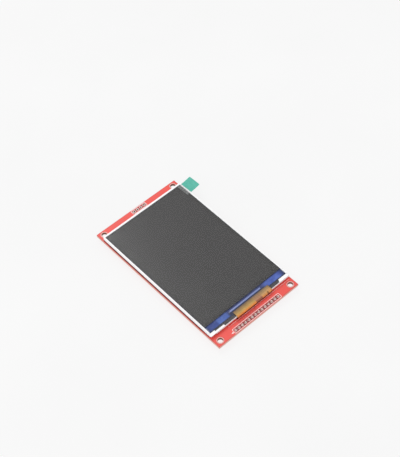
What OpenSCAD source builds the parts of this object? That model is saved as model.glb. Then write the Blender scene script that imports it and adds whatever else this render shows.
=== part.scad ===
// Graphic display module: a glass display in a white backlight frame,
// taped to the front of a printed circuit board, with a card socket behind.
// Millimetres. The origin is the centre of the four mounting holes on the
// board's rear face. +X runs across the short side, +Y runs along the long
// side away from the pin row, and +Z points out of the display.

/* [Circuit board] */
// Width of the board across the short side
board_w = 61.74; // [60:0.02:64]
// Length of the board along the long side
board_l = 108.04; // [106:0.02:110]
// Thickness of the board
board_t = 1.6; // [1.2:0.1:1.6]
// Diameter of the four mounting holes
mount_hole_d = 3.2; // [2.8:0.1:3.4]
// Distance between the mounting holes across the board
mount_pitch_x = 54.74; // [54:0.02:56]
// Distance between the mounting holes along the board
mount_pitch_y = 102.04; // [101:0.02:103]
// Outer diameter of the tinned ring around each mounting hole
mount_ring_d = 4.4; // [4.2:0.1:5.4]
// Inner diameter of the tinned ring, clear of the hole's edge
mount_ring_bore_d = 3.6; // [3.6:0.1:3.8]

/* [Pin rows] */
// Number of holes in the main pin row
main_pins = 14; // [4:1:18]
// Number of holes in the card pin row
card_pins = 4; // [2:1:8]
// Distance between neighbouring pins
pin_pitch = 2.54; // [2:0.02:2.54]
// Bore of each plated pin hole
pin_bore_d = 1.0; // [0.8:0.05:1.1]
// Diameter of the tinned land around each pin hole
pin_land_d = 1.8; // [1.5:0.05:2]
// Distance from the board's edge to either pin row
pin_edge = 1.97; // [1.9:0.01:2.2]
// Height of the solder on the main row above the board
solder_h = 1.05; // [0.4:0.05:1.2]

/* [Display] */
// Thickness of the foam tape that holds the display
foam_t = 1.0; // [0.5:0.1:1]
// Width of the white backlight frame
frame_w = 60.8; // [60:0.1:61]
// Lower end of the white frame, by the pin row
frame_y0 = -47.0; // [-47.5:0.1:-46.8]
// Upper end of the white frame
frame_y1 = 48.1; // [48:0.1:48.4]
// Width of the display glass
glass_w = 59.0; // [58.8:0.1:59.1]
// Lower edge of the rear glass, which carries the driver chip
rear_glass_y0 = -44.9; // [-44.9:0.1:-44.6]
// Lower edge of the front glass
front_glass_y0 = -40.6; // [-41:0.1:-40]
// Upper edge of both sheets of glass
glass_y1 = 46.8; // [46.6:0.1:46.8]
// Thickness of one sheet of glass
glass_t = 0.45; // [0.3:0.05:0.5]

/* [Flexible circuit] */
// Left edge of the display's flexible circuit
flex_x0 = -10.9; // [-12:0.1:-10]
// Right edge of the display's flexible circuit
flex_x1 = 16.3; // [15:0.1:17]
// Thickness of the flexible circuit
flex_t = 0.12; // [0.08:0.02:0.14]
// Radius of its middle layer where it folds behind the display
flex_r = 0.8; // [0.78:0.01:0.82]
// Where the folded end stops behind the display
flex_end = -39; // [-42:0.5:-36]

/* [Pull tab] */
// Width of the pull tab along the display's edge
tab_w = 8.9; // [6:0.1:12]
// How far the tab reaches past the middle of the display
tab_x1 = 37.7; // [34:0.1:40]
// How far its free end lifts
tab_lift = 1.1; // [0.6:0.1:1.5]
// Turn of the tab in its own plane, in degrees
tab_turn = 1.6; // [0:0.2:4]

/* [Card socket] */
// Width of the socket's steel cover
socket_w = 26.6; // [26.2:0.1:28]
// Depth of the socket, from its mouth to its rear wall
socket_l = 28.0; // [26:0.5:29]
// Height of the socket behind the board
socket_h = 2.8; // [2.8:0.1:3.2]
// Middle of the socket along the board
socket_y = 26; // [16:1:30]
// Thickness of the steel
sheet_t = 0.2; // [0.15:0.05:0.25]

/* [Hidden] */

eps = 0.01;

// heights above the rear face of the board, from the board upward
z_foam = board_t;
z_frame = z_foam + foam_t;
reflector_t = 0.10;
guide_t = 0.60;
diffuser_t = 0.10;
prism_t = 0.08;
rim_t = 0.06;
rear_pol_t = 0.15;
front_pol_t = 0.17;
film_t = 0.06;
z_guide = z_frame + reflector_t;
z_diffuser = z_guide + guide_t;
z_prism1 = z_diffuser + diffuser_t;
z_prism2 = z_prism1 + prism_t;
z_rim = z_prism2 + prism_t;
z_rear_pol = z_rim + rim_t;
z_rear_glass = z_rear_pol + rear_pol_t;
z_ledge = z_rear_glass + glass_t;
z_front_pol = z_ledge + glass_t;
z_film = z_front_pol + front_pol_t;
z_top = z_film + film_t;

// top of the frame's lower bar, just under the ledge of the rear glass
z_bar = z_ledge - 0.12;
tape_t = 0.10;

// the frame's opening for the light guide, and its pocket for the glass
guide_w = 56.4;
guide_y0 = -44.95;
guide_y1 = 45.7;
open_w = guide_w + 0.1;
open_y0 = -45.0;
open_y1 = guide_y1 + 0.1;
pocket_w = glass_w + 0.2;
pocket_y0 = rear_glass_y0 - 0.1;
pocket_y1 = glass_y1 + 0.1;

// light source pocket in the frame's lower bar
led_n = 8;
led_x0 = -19.4;
led_x1 = 22.4;
led_y0 = -46.3;
led_l = 3.8;
led_pitch = 5.2;
led_mid = (led_x0 + led_x1) / 2;

// pin rows
main_y = -board_l / 2 + pin_edge;
card_y = board_l / 2 - pin_edge;
card_x = 0.9;
plate_r = pin_bore_d / 2 + 0.05;
land_t = 0.05;
main_xs = [for (i = [0 : main_pins - 1]) (i - (main_pins - 1) / 2) * pin_pitch];
card_xs = [for (i = [0 : card_pins - 1]) card_x + (i - (card_pins - 1) / 2) * pin_pitch];
mount_pts = [for (i = [-1, 1], j = [-1, 1]) [i * mount_pitch_x / 2, j * mount_pitch_y / 2]];

// pull tab
tab_t = 0.08;
tab_x0 = 27.4;
tab_y = 41.9;
tab_bend_x = 29.9;

// card socket: x runs from the rear wall to the mouth by the board's edge
socket_x1 = board_w / 2 - 0.47;
socket_x0 = socket_x1 - socket_l;
rail_w = 1.0;
slot_w = socket_w - 2 * sheet_t - 2 * rail_w;
floor_t = 0.4;
rear_t = 4.2;
contact_n = 9;
contact_pitch = 2.5;
contact_w = 1.0;
contact_t = 0.2;
contact_run = 11;

// small parts behind the board: [x, y, turn]
sot_spots = [[-12, -38, 0], [9, -38, 0]];
resistor_spots = [
    [-20, -45, 90], [-16.5, -45, 90], [-13, -45, 90], [-9.5, -45, 90],
    [14, -45, 90], [17.5, -45, 90], [-6, 46, 0], [-1, 46, 0],
    [4, 46, 0], [9, 46, 0]
];
capacitor_spots = [
    [-17, -38, 90], [-7.5, -38, 90], [13.5, -38, 90], [-6, 26, 90],
    [-14, 2, 0], [-14, 17, 0]
];
chip_l = 2.0;
chip_w = 1.25;
cap_l = 0.4;
resistor_t = 0.5;
capacitor_t = 0.9;

// a flat sheet from x0, y0 to x1, y1, between two heights
module slab(x0, y0, x1, y1, z0, z1) {
    translate([x0, y0, z0]) cube([x1 - x0, y1 - y0, z1 - z0]);
}

// a plated hole: a thin barrel with a round land on each face of the board
module plated_hole() {
    rotate_extrude($fn = 32) polygon([
        [pin_bore_d / 2, -land_t], [pin_land_d / 2, -land_t],
        [pin_land_d / 2, 0], [plate_r, 0],
        [plate_r, board_t], [pin_land_d / 2, board_t],
        [pin_land_d / 2, board_t + land_t], [pin_bore_d / 2, board_t + land_t]
    ]);
}

// solder that fills a plated hole, with a cone on the front face
module solder_fill() {
    r = pin_bore_d / 2;
    b = board_t + land_t;
    rotate_extrude($fn = 32) polygon([
        [0, -0.22], [r * 0.55, -0.17], [r, -land_t],
        [r, b], [pin_land_d / 2 - 0.08, b],
        [pin_land_d / 2 - 0.2, b + 0.16 * solder_h],
        [0.55, b + 0.40 * solder_h], [0.42, b + 0.70 * solder_h],
        [0.27, b + 0.92 * solder_h], [0, b + solder_h]
    ]);
}

// Board with its mounting holes and the holes of both pin rows
module circuit_board() color([0.93, 0.33, 0.30]) difference() {
    slab(-board_w / 2, -board_l / 2, board_w / 2, board_l / 2, 0, board_t);
    for (p = mount_pts) translate([p[0], p[1], -1])
        cylinder(d = mount_hole_d, h = board_t + 2, $fn = 64);
    for (x = main_xs) translate([x, main_y, -1])
        cylinder(r = plate_r, h = board_t + 2, $fn = 32);
    for (x = card_xs) translate([x, card_y, -1])
        cylinder(r = plate_r, h = board_t + 2, $fn = 32);
}

// Tinned rings around the mounting holes, on both faces
module mounting_rings() color([0.86, 0.84, 0.82])
    for (p = mount_pts, z = [-land_t, board_t]) translate([p[0], p[1], z])
        difference() {
            cylinder(d = mount_ring_d, h = land_t, $fn = 64);
            translate([0, 0, -1]) cylinder(d = mount_ring_bore_d, h = 3, $fn = 64);
        }

// Plated holes of the main pin row
module pin_row_plating() color([0.86, 0.84, 0.82])
    for (x = main_xs) translate([x, main_y, 0]) plated_hole();

// Solder in the main pin row
module pin_row_solder() color([0.80, 0.80, 0.81])
    for (x = main_xs) translate([x, main_y, 0]) solder_fill();

// Open plated holes of the card pin row
module card_row_plating() color([0.86, 0.84, 0.82])
    for (x = card_xs) translate([x, card_y, 0]) plated_hole();

// Strips of double-sided foam tape between the board and the display: one
// along each side and one across the upper end, open where the flex comes back
foam_x = frame_w / 2 - 0.2;
module foam_tape() color([0.28, 0.10, 0.10]) {
    union() {
        slab(-foam_x, -43, -22, 40, z_foam, z_frame);
        slab(-foam_x, -44.6, -26.4, -42.9, z_foam, z_frame);
    }
    union() {
        slab(22, -44.8, foam_x, 40, z_foam, z_frame);
        slab(17.2, -44.8, 22.1, -41, z_foam, z_frame);
    }
    slab(-foam_x, 40.5, foam_x, 47.9, z_foam, z_frame);
}

// White moulded frame: side walls, a ledge for the glass, and a lower bar
// with a pocket for the light source
module backlight_frame() color([0.96, 0.96, 0.97]) difference() {
    slab(-frame_w / 2, frame_y0, frame_w / 2, frame_y1, z_frame, z_film);
    slab(-open_w / 2, open_y0, open_w / 2, open_y1, z_frame - 1, z_top + 1);
    slab(-pocket_w / 2, pocket_y0, pocket_w / 2, pocket_y1, z_rim, z_top + 1);
    // the lower bar is lower than the side walls
    slab(-frame_w / 2 - 1, frame_y0 - 1, frame_w / 2 + 1, pocket_y0, z_bar, z_top + 1);
    // light source pocket, open to the light guide and upward
    slab(led_x0, led_y0, led_x1, open_y0 + eps, z_guide, z_top + 1);
    // relief under the lower left corner
    slab(-frame_w / 2 - 1, frame_y0 - 1, -26.2, frame_y0 + 0.9, z_frame - 1, z_frame + 0.85);
    // chamfers on the upper outer corners
    for (s = [-1, 1]) translate([s * frame_w / 2, frame_y1, z_frame - 1])
        rotate([0, 0, 45]) cube([0.7, 0.7, 10], center = true);
}

// White reflector under the light guide
module reflector_sheet() color([0.97, 0.97, 0.98])
    slab(-guide_w / 2, guide_y0, guide_w / 2, guide_y1, z_frame, z_guide);

// Clear light guide plate
module light_guide() color([0.90, 0.95, 0.96])
    slab(-guide_w / 2, guide_y0, guide_w / 2, guide_y1, z_guide, z_diffuser);

// Diffuser sheet
module diffuser_sheet() color([0.93, 0.94, 0.95])
    slab(-guide_w / 2, guide_y0, guide_w / 2, guide_y1, z_diffuser, z_prism1);

// Two prism sheets, crossed
module lower_prism_sheet() color([0.80, 0.84, 0.88])
    slab(-guide_w / 2, guide_y0, guide_w / 2, guide_y1, z_prism1, z_prism2);

module upper_prism_sheet() color([0.76, 0.81, 0.86])
    slab(-guide_w / 2, guide_y0, guide_w / 2, guide_y1, z_prism2, z_rim);

// Flexible strip that carries the light-emitting diodes
module led_flex() color([0.86, 0.70, 0.35])
    slab(led_x0 + 0.1, led_y0 + 0.1, led_x1 - 0.1, open_y0, z_guide, z_guide + 0.1);

// Side-view light-emitting diodes that shine into the light guide's edge
module backlight_leds() color([0.98, 0.95, 0.70])
    for (i = [0 : led_n - 1])
        translate([led_mid + (i - (led_n - 1) / 2) * led_pitch - led_l / 2, led_y0 + 0.15, z_guide + 0.1])
            cube([led_l, 1.05, 0.6]);

// Black and white rim tape under the edge of the glass
module rim_tape() color([0.12, 0.12, 0.12]) difference() {
    slab(-glass_w / 2, rear_glass_y0, glass_w / 2, glass_y1, z_rim, z_rear_pol);
    slab(-27.4, -41.5, 27.4, 44.6, z_rim - 1, z_top);
}

// Polarizer behind the rear glass
module rear_polarizer() color([0.16, 0.17, 0.19])
    slab(-glass_w / 2 + 0.1, front_glass_y0 - 0.4, glass_w / 2 - 0.1, glass_y1 - 0.2, z_rear_pol, z_rear_glass);

// Rear glass, longer than the front glass by the ledge of the driver chip
module rear_glass() color([0.30, 0.34, 0.42])
    slab(-glass_w / 2, rear_glass_y0, glass_w / 2, glass_y1, z_rear_glass, z_ledge);

// Front glass with the colour filter
module front_glass() color([0.22, 0.23, 0.26])
    slab(-glass_w / 2, front_glass_y0, glass_w / 2, glass_y1, z_ledge, z_front_pol);

// Polarizer on the front glass
module front_polarizer() color([0.33, 0.33, 0.34])
    slab(-glass_w / 2 + 0.1, front_glass_y0 + 0.25, glass_w / 2 - 0.1, glass_y1 - 0.2, z_front_pol, z_film);

// Long driver chip bonded to the ledge
chip_x = 0;
driver_l = 23.6;
driver_w = 0.95;
driver_y = -42.15;
driver_t = 0.28;
module driver_chip() color([0.52, 0.57, 0.72])
    slab(chip_x - driver_l / 2, driver_y - driver_w / 2, chip_x + driver_l / 2, driver_y + driver_w / 2, z_ledge, z_ledge + driver_t);

// Blue sealing coat on the ledge, around the driver chip and up to the flex
flex_bond_y = -43.5;
coat_t = 0.12;
module ledge_coating() color([0.31, 0.37, 0.62]) difference() {
    slab(-glass_w / 2 + 0.1, rear_glass_y0 + 0.55, glass_w / 2 - 0.3, front_glass_y0 - 0.02, z_ledge, z_ledge + coat_t);
    slab(flex_x0 - 0.15, rear_glass_y0 - 1, flex_x1 + 0.15, flex_bond_y + 0.05, z_ledge - 1, z_top);
    slab(chip_x - driver_l / 2, driver_y - driver_w / 2, chip_x + driver_l / 2, driver_y + driver_w / 2, z_ledge - 1, z_top);
}

// Black tape over the light source pocket, with a narrow left end and a
// slanted right end
module shading_tape() color([0.38, 0.38, 0.38])
    translate([0, 0, z_bar]) linear_extrude(height = tape_t) polygon([
        [-26.3, rear_glass_y0 - 0.1], [-26.3, -45.75], [-19.7, -45.75],
        [-19.7, -46.85], [22.5, -46.85], [23.1, -46.2], [23.5, rear_glass_y0 - 0.1]
    ]);

// Profile of a band of the given thickness along the folded path: flat on
// the ledge, round the frame's lower edge, and back under the frame
z_flex = z_ledge + flex_t / 2;
z_tail = board_t + flex_t / 2;
flex_cy = -46.75;
flex_steps = 12;
function flex_side(s) = concat(
    [[flex_bond_y, z_flex + s]],
    [for (i = [0 : flex_steps]) let (a = 90 + 90 * i / flex_steps)
        [flex_cy + (flex_r + s) * cos(a), z_flex - flex_r + (flex_r + s) * sin(a)]],
    [for (i = [0 : flex_steps]) let (a = 180 + 90 * i / flex_steps)
        [flex_cy + (flex_r + s) * cos(a), z_tail + flex_r + (flex_r + s) * sin(a)]],
    [[flex_end, z_tail - s]]
);
function reversed(v) = [for (i = [len(v) - 1 : -1 : 0]) v[i]];

// Amber flexible circuit from the glass ledge to the board
module display_flex() color([0.89, 0.62, 0.32])
    translate([flex_x0, 0, 0]) rotate([90, 0, 90])
        linear_extrude(height = flex_x1 - flex_x0)
            polygon(concat(flex_side(flex_t / 2), reversed(flex_side(-flex_t / 2))));

// Clear protective film over the screen
module protective_film() color([0.45, 0.45, 0.46])
    slab(-glass_w / 2 + 0.15, front_glass_y0 + 0.3, glass_w / 2 - 0.15, glass_y1 - 0.25, z_film, z_top);

// Pull tab stuck to the film, curling up past the frame's edge
tab_steps = 10;
function tab_side(s) = concat(
    [[tab_x0, z_top + tab_t / 2 + s]],
    [for (i = [0 : tab_steps]) let (u = i / tab_steps)
        [tab_bend_x + u * (tab_x1 - tab_bend_x), z_top + tab_t / 2 + s + tab_lift * u * u * (1.5 - 0.5 * u)]]
);
module pull_tab() color([0.36, 0.75, 0.68])
    translate([tab_x0, tab_y, 0]) rotate([0, 0, tab_turn]) translate([-tab_x0, -tab_y, 0])
        translate([0, tab_y + tab_w / 2, 0]) rotate([90, 0, 0])
            linear_extrude(height = tab_w)
                polygon(concat(tab_side(tab_t / 2), reversed(tab_side(-tab_t / 2))));

// One spring contact: solder tail behind the rear wall, blade in the slot
module contact_blade() {
    slab(socket_x0 - 1.2, -contact_w / 2, socket_x0 + rear_t, contact_w / 2, -contact_t, 0);
    slab(socket_x0 + rear_t - 1.4, -contact_w / 2, socket_x0 + rear_t - 1.2, contact_w / 2, -floor_t - 0.3, -contact_t + eps);
    slab(socket_x0 + rear_t - 1.4, -contact_w / 2, socket_x0 + rear_t + contact_run, contact_w / 2, -floor_t - 0.3, -floor_t - 0.1);
}
module contact_row()
    for (i = [0 : contact_n - 1])
        translate([0, socket_y + (i - (contact_n - 1) / 2) * contact_pitch, 0]) contact_blade();

// Black plastic base of the card socket: floor, rear wall and two rails
module card_socket_base() color([0.10, 0.10, 0.11]) difference() {
    slab(socket_x0, socket_y - socket_w / 2 + sheet_t, socket_x1, socket_y + socket_w / 2 - sheet_t, -socket_h + sheet_t, 0);
    // card slot
    slab(socket_x0 + rear_t, socket_y - slot_w / 2, socket_x1 + 1, socket_y + slot_w / 2, -socket_h - 1, -floor_t);
    // open floor near the mouth
    slab(socket_x0 + rear_t + contact_run + 2, socket_y - slot_w / 2 + 2, socket_x1 - 2, socket_y + slot_w / 2 - 2, -1, 1);
    contact_row();
}

// Steel cover of the card socket: plate, folded sides, solder tabs
module card_socket_cover() color([0.78, 0.79, 0.80]) difference() {
    union() {
        slab(socket_x0 + 1.2, socket_y - socket_w / 2, socket_x1, socket_y + socket_w / 2, -socket_h, -socket_h + sheet_t);
        for (s = [-1, 1]) {
            y = socket_y + s * (socket_w / 2 - sheet_t / 2);
            slab(socket_x0 + 1.2, y - sheet_t / 2, socket_x1, y + sheet_t / 2, -socket_h, -0.15);
            for (x = [socket_x0 + 4, socket_x1 - 4])
                slab(x - 1, min(y + s * sheet_t / 2, y + s * 1.1) - (s > 0 ? sheet_t : 0), x + 1,
                     max(y + s * sheet_t / 2, y + s * 1.1) + (s < 0 ? sheet_t : 0), -sheet_t, 0);
        }
    }
    // thumb notch at the mouth
    translate([socket_x1, socket_y, -socket_h - 1])
        linear_extrude(height = 1 + sheet_t + eps) polygon([
            [1, -8], [0, -8], [-2.6, -6.2], [-2.6, 6.2], [0, 8], [1, 8]
        ]);
    // spring windows
    for (s = [-1, 1]) {
        slab(socket_x1 - 12, socket_y + s * 8.4 - 1.1, socket_x1 - 5, socket_y + s * 8.4 - 0.7, -socket_h - 1, -socket_h + sheet_t + eps);
        slab(socket_x1 - 12, socket_y + s * 8.4 + 0.7, socket_x1 - 5, socket_y + s * 8.4 + 1.1, -socket_h - 1, -socket_h + sheet_t + eps);
        slab(socket_x1 - 5.4, socket_y + s * 8.4 - 1.1, socket_x1 - 5, socket_y + s * 8.4 + 1.1, -socket_h - 1, -socket_h + sheet_t + eps);
    }
    // viewing holes near the rear wall
    for (s = [-1, 0, 1]) translate([socket_x0 + 7, socket_y + s * 7.5, -socket_h - 1])
        cylinder(d = 1.6, h = 2, $fn = 32);
}

// Nine spring contacts of the card socket
module card_socket_contacts() color([0.83, 0.68, 0.36]) contact_row();

// Moulded bodies of the small three-lead packages
module sot_packages() color([0.09, 0.09, 0.10])
    for (p = sot_spots) translate([p[0], p[1], 0]) rotate([0, 0, p[2]])
        slab(-1.45, -0.65, 1.45, 0.65, -1.1, -0.1);

// Their leads
module sot_lead() rotate([90, 0, 90]) linear_extrude(height = 0.4)
    polygon([[0, -0.65], [0.32, -0.65], [0.42, -0.15], [0.62, -0.15], [0.62, 0],
             [0.27, 0], [0.17, -0.5], [0, -0.5]]);
module sot_leads() color([0.75, 0.75, 0.76])
    for (p = sot_spots) translate([p[0], p[1], 0]) rotate([0, 0, p[2]]) {
        for (x = [-0.95, 0.95]) translate([x - 0.2, 0.65, 0]) sot_lead();
        rotate([0, 0, 180]) translate([-0.2, 0.65, 0]) sot_lead();
    }

// Bodies of the chip resistors, between their end caps
module chip_body(t) slab(-chip_l / 2 + cap_l, -chip_w / 2, chip_l / 2 - cap_l, chip_w / 2, -t, 0);
module chip_resistors() color([0.12, 0.12, 0.13])
    for (p = resistor_spots) translate([p[0], p[1], 0]) rotate([0, 0, p[2]]) chip_body(resistor_t);

// Bodies of the chip capacitors
module chip_capacitors() color([0.72, 0.60, 0.45])
    for (p = capacitor_spots) translate([p[0], p[1], 0]) rotate([0, 0, p[2]]) chip_body(capacitor_t);

// Tinned end caps of all the chip parts
module end_caps(t) for (s = [-1, 1])
    slab(s > 0 ? chip_l / 2 - cap_l : -chip_l / 2, -chip_w / 2, s > 0 ? chip_l / 2 : -chip_l / 2 + cap_l, chip_w / 2, -t, 0);
module chip_end_caps() color([0.80, 0.80, 0.80]) {
    for (p = resistor_spots) translate([p[0], p[1], 0]) rotate([0, 0, p[2]]) end_caps(resistor_t);
    for (p = capacitor_spots) translate([p[0], p[1], 0]) rotate([0, 0, p[2]]) end_caps(capacitor_t);
}

circuit_board();
mounting_rings();
pin_row_plating();
pin_row_solder();
card_row_plating();
foam_tape();
backlight_frame();
reflector_sheet();
light_guide();
diffuser_sheet();
lower_prism_sheet();
upper_prism_sheet();
led_flex();
backlight_leds();
rim_tape();
rear_polarizer();
rear_glass();
front_glass();
front_polarizer();
driver_chip();
ledge_coating();
shading_tape();
display_flex();
protective_film();
pull_tab();
card_socket_base();
card_socket_cover();
card_socket_contacts();
sot_packages();
sot_leads();
chip_resistors();
chip_capacitors();
chip_end_caps();
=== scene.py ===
import bpy
import bmesh
import math
import random
from mathutils import Matrix, Vector


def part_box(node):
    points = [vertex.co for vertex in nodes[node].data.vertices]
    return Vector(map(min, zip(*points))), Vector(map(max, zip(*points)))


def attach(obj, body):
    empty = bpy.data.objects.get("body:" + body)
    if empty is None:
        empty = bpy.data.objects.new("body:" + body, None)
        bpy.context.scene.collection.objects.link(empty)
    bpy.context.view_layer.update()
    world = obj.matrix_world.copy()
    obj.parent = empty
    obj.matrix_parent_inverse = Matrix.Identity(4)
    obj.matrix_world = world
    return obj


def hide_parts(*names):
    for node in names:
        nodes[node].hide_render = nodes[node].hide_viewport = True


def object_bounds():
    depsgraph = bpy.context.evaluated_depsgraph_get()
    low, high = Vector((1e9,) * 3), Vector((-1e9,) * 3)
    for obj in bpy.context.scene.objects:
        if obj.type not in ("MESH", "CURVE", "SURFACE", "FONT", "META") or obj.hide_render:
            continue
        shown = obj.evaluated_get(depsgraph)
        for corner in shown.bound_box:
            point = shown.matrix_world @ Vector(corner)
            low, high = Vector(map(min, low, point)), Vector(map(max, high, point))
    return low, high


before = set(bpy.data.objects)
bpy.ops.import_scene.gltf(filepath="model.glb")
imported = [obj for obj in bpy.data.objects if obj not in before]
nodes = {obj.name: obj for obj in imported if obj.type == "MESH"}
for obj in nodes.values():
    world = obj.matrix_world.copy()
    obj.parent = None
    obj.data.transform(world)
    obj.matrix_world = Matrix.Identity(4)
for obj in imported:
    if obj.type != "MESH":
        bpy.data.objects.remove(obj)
cad_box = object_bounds()
MM = 0.001
rng = random.Random(7)


def lo(node):
    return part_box(node)[0] / MM


def hi(node):
    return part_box(node)[1] / MM


# ---------------------------------------------------------------- camera
cam_data = bpy.data.cameras.new("camera")
cam = bpy.data.objects.new("camera", cam_data)
bpy.context.scene.collection.objects.link(cam)
CAM_POS = Vector((-236.606, -292.247, 516.441)) * MM
CAM_R = ((0.742547, -0.668550, -0.040801), (-0.557173, -0.582739, -0.591585), (0.371728, 0.462013, -0.805209))
cam_data.sensor_fit = "AUTO"
cam_data.sensor_width = 36.0
cam_data.lens = 1087.99 / 457.0 * 36.0
cam_data.shift_x = (200.0 - 193.10) / 457.0
cam_data.shift_y = (254.98 - 228.5) / 457.0
cam_data.clip_start = 0.01
cam_data.clip_end = 50.0
cam_data.dof.use_dof = False
right, down, fwd = (Vector(v).normalized() for v in CAM_R)
rot = Matrix((right, -down, -fwd)).transposed().to_4x4()
cam.matrix_world = Matrix.Translation(CAM_POS) @ rot
bpy.context.scene.camera = cam

# ---------------------------------------------------------------- materials


def srgb(r, g, b):
    def f(c):
        c /= 255.0
        return c / 12.92 if c <= 0.04045 else ((c + 0.055) / 1.055) ** 2.4
    return (f(r), f(g), f(b), 1.0)


def shade(c, k):
    return (min(1.0, c[0] * k), min(1.0, c[1] * k), min(1.0, c[2] * k), 1.0)


class Mat:
    """A node material that is built up step by step."""

    def __init__(self, name, rough=0.5, metal=0.0, spec=None, **sockets):
        self.m = bpy.data.materials.new(name)
        self.m.use_nodes = True
        self.nt = self.m.node_tree
        self.nt.nodes.clear()
        self.out = self.nt.nodes.new("ShaderNodeOutputMaterial")
        self.b = self.nt.nodes.new("ShaderNodeBsdfPrincipled")
        self.nt.links.new(self.b.outputs[0], self.out.inputs[0])
        self.b.inputs["Roughness"].default_value = rough
        self.b.inputs["Metallic"].default_value = metal
        if spec is not None:
            self.b.inputs["Specular IOR Level"].default_value = spec
        for k, v in sockets.items():
            self.b.inputs[k.replace("_", " ")].default_value = v
        self.coord = self.nt.nodes.new("ShaderNodeTexCoord").outputs["Object"]
        self.height = None

    def node(self, kind, **props):
        n = self.nt.nodes.new(kind)
        for k, v in props.items():
            setattr(n, k, v)
        return n

    def link(self, a, b):
        self.nt.links.new(a, b)

    def noise(self, scale, detail=3.0, rough=0.55, stretch=None, lo=0.3, hi=0.7):
        src = self.coord
        if stretch:
            mp = self.node("ShaderNodeMapping")
            mp.inputs["Scale"].default_value = stretch
            self.link(src, mp.inputs["Vector"])
            src = mp.outputs[0]
        n = self.node("ShaderNodeTexNoise")
        n.inputs["Scale"].default_value = scale
        n.inputs["Detail"].default_value = detail
        n.inputs["Roughness"].default_value = rough
        self.link(src, n.inputs["Vector"])
        return self.remap(n.outputs["Fac"], lo, hi, 0.0, 1.0)

    def remap(self, v, a, b, c, d, smooth=False):
        r = self.node("ShaderNodeMapRange")
        if smooth:
            r.interpolation_type = "SMOOTHSTEP"
        r.clamp = True
        self.link(v, r.inputs["Value"])
        for k, x in zip(("From Min", "From Max", "To Min", "To Max"), (a, b, c, d)):
            r.inputs[k].default_value = x
        return r.outputs["Result"]

    def mix(self, fac, a, b, blend="MIX"):
        n = self.node("ShaderNodeMix", data_type="RGBA", blend_type=blend)
        for s, v in ((0, fac), (6, a), (7, b)):
            if hasattr(v, "default_value") or hasattr(v, "is_linked"):
                self.link(v, n.inputs[s])
            else:
                n.inputs[s].default_value = v
        return n.outputs[2]

    def math(self, op, a, b=0.0):
        n = self.node("ShaderNodeMath", operation=op)
        for s, v in ((0, a), (1, b)):
            if isinstance(v, (int, float)):
                n.inputs[s].default_value = v
            else:
                self.link(v, n.inputs[s])
        return n.outputs[0]

    def axis(self, i):
        n = self.node("ShaderNodeSeparateXYZ")
        self.link(self.coord, n.inputs[0])
        return n.outputs[i]

    def inside(self, x0, x1, y0, y1, soft=0.00012):
        """1 inside a rectangle of the XY plane, 0 outside. Sizes in metres."""
        x, y = self.axis(0), self.axis(1)
        a = self.math("MULTIPLY", self.remap(x, x0 - soft, x0 + soft, 0.0, 1.0), self.remap(x, x1 - soft, x1 + soft, 1.0, 0.0))
        b = self.math("MULTIPLY", self.remap(y, y0 - soft, y0 + soft, 0.0, 1.0), self.remap(y, y1 - soft, y1 + soft, 1.0, 0.0))
        return self.math("MULTIPLY", a, b)

    def color(self, v):
        self.link(v, self.b.inputs["Base Color"])

    def rough(self, v):
        self.link(v, self.b.inputs["Roughness"])

    def bump(self, h, strength=0.2, distance=0.00002):
        n = self.node("ShaderNodeBump")
        n.inputs["Strength"].default_value = strength
        n.inputs["Distance"].default_value = distance
        self.link(h, n.inputs["Height"])
        if self.height is not None:
            self.link(self.height, n.inputs["Normal"])
        self.height = n.outputs[0]
        self.link(self.height, self.b.inputs["Normal"])


def simple(name, col, rough=0.5, metal=0.0, vary=0.06, scale=900, rvary=0.06, bump=0.15, bscale=4000, bdist=0.00001, stretch=None, **kw):
    m = Mat(name, rough=rough, metal=metal, **kw)
    n = m.noise(scale, stretch=stretch)
    m.color(m.mix(n, shade(col, 1.0 - vary), shade(col, 1.0 + vary)))
    m.rough(m.remap(m.noise(scale * 1.7, stretch=stretch), 0.0, 1.0, max(0.02, rough - rvary), min(1.0, rough + rvary)))
    if bump:
        m.bump(m.noise(bscale, detail=2.0, stretch=stretch), bump, bdist)
    return m.m


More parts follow.
